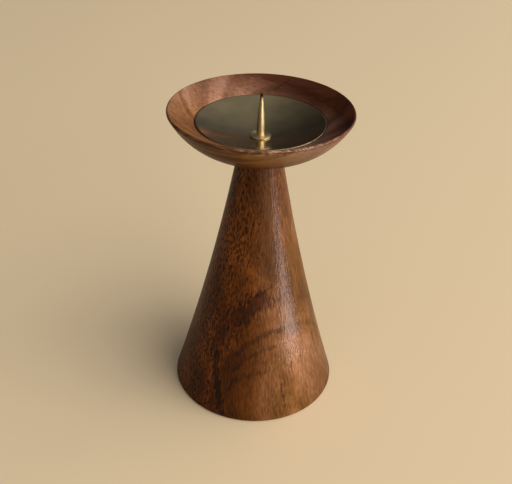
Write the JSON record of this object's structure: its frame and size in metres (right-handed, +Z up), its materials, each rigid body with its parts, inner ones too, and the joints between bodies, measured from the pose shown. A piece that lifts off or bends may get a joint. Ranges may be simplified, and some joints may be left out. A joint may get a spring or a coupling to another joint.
{
  "type": "pricket candlestick",
  "caption": "Tall turned walnut candlestick: a hollow-flanked conical stem under a wide shallow dish, with a concave brass drip pan and a tapered brass pricket for a pillar candle.",
  "frame": {"origin": "middle of the underside of the felt pad, where the candlestick rests on a table", "axes": "+Z up along the turning axis, from the base to the tip of the spike; X and Y are free, because every piece but the screw thread is round"},
  "size_m": [0.1, 0.1, 0.1886],
  "materials": {
    "walnut": "turned and sanded walnut, oiled and waxed to a soft sheen",
    "spun_brass": "spun brass sheet, polished and slightly tarnished",
    "turned_brass": "turned brass bar, polished, with fine turning marks",
    "felt": "pressed wool felt, dark green"
  },
  "bodies": {
    "root": {"stem": "walnut", "dish": "walnut", "drip_pan": "spun_brass", "collar": "turned_brass", "spike": "turned_brass", "felt_pad": "felt"}
  },
  "joints": []
}
